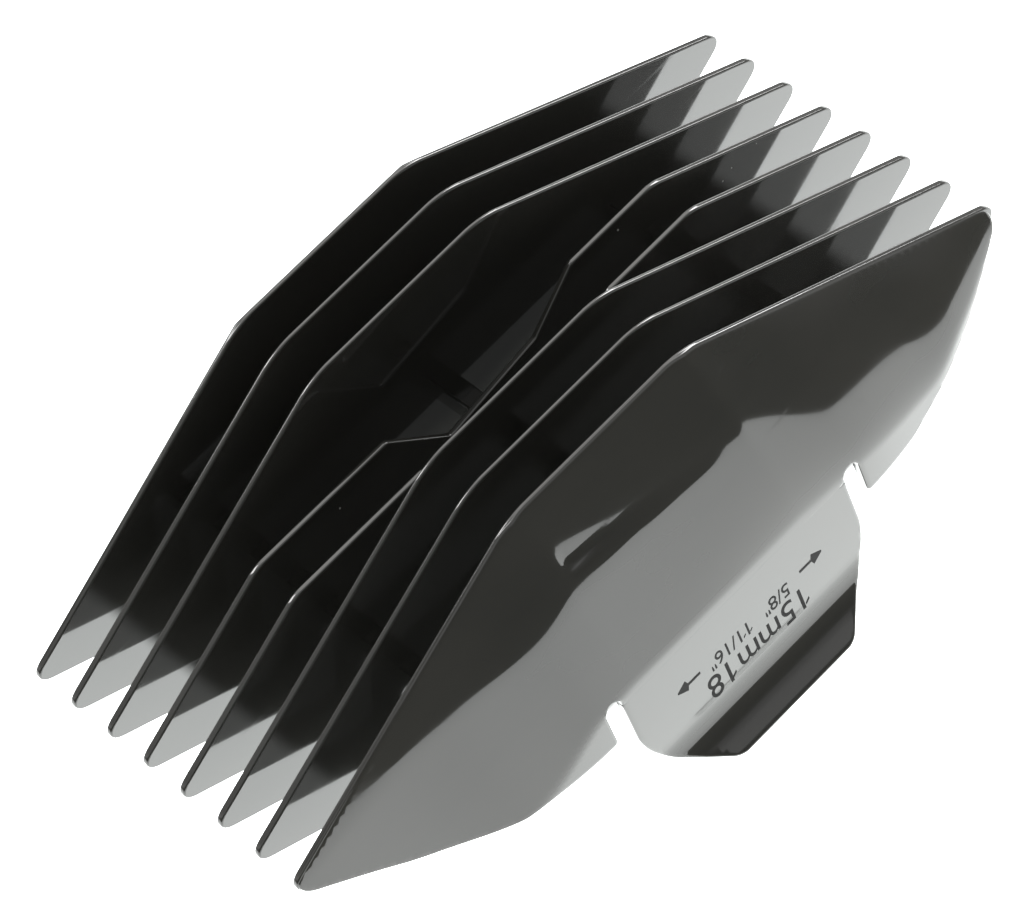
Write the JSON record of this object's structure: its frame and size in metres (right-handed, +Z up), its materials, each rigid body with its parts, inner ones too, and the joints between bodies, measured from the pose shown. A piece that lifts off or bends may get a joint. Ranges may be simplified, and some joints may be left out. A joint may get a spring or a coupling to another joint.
{
  "type": "hair clipper guide comb",
  "caption": "Double-ended clip-on guide comb for a hair clipper: parallel comb blades between bowed side walls with sprung tabs and flared grip lips.",
  "frame": {"origin": "centre of the footprint, on the plane that the two grip lips stand on", "axes": "+X along the blades towards the end with the shorter cutting length, +Y to the far side wall, +Z up to the ridge"},
  "size_m": [0.092, 0.064, 0.0367],
  "materials": {
    "comb_plastic": "high gloss, injection moulded",
    "legend_ink": "matt printed ink"
  },
  "bodies": {
    "comb": {"comb_blade_1": "comb_plastic", "comb_blade_2": "comb_plastic", "comb_blade_3": "comb_plastic", "comb_blade_4": "comb_plastic", "comb_blade_5": "comb_plastic", "comb_blade_6": "comb_plastic", "near_outer_blade": "comb_plastic", "far_outer_blade": "comb_plastic", "near_side_wall": "comb_plastic", "far_side_wall": "comb_plastic", "cross_rib_left": "comb_plastic", "cross_rib_middle": "comb_plastic", "cross_rib_right": "comb_plastic"},
    "near_tab": {"near_spring_tab": "comb_plastic", "near_grip_lip": "comb_plastic", "near_catch_ridge": "comb_plastic"},
    "far_tab": {"far_spring_tab": "comb_plastic", "far_grip_lip": "comb_plastic", "far_catch_ridge": "comb_plastic"}
  },
  "joints": [
    {"name": "near_tab_flex", "type": "hinge", "parent": "comb", "child": "near_tab", "pos_m": [0.0009, -0.0278, 0.01734], "axis": [-1, 0, 0], "range_deg": [-2, 9], "stiffness_Nm_per_rad": 0.5},
    {"name": "far_tab_flex", "type": "hinge", "parent": "comb", "child": "far_tab", "pos_m": [0.0009, 0.0278, 0.01734], "axis": [1, 0, 0], "range_deg": [-2, 9], "stiffness_Nm_per_rad": 0.5}
  ]
}
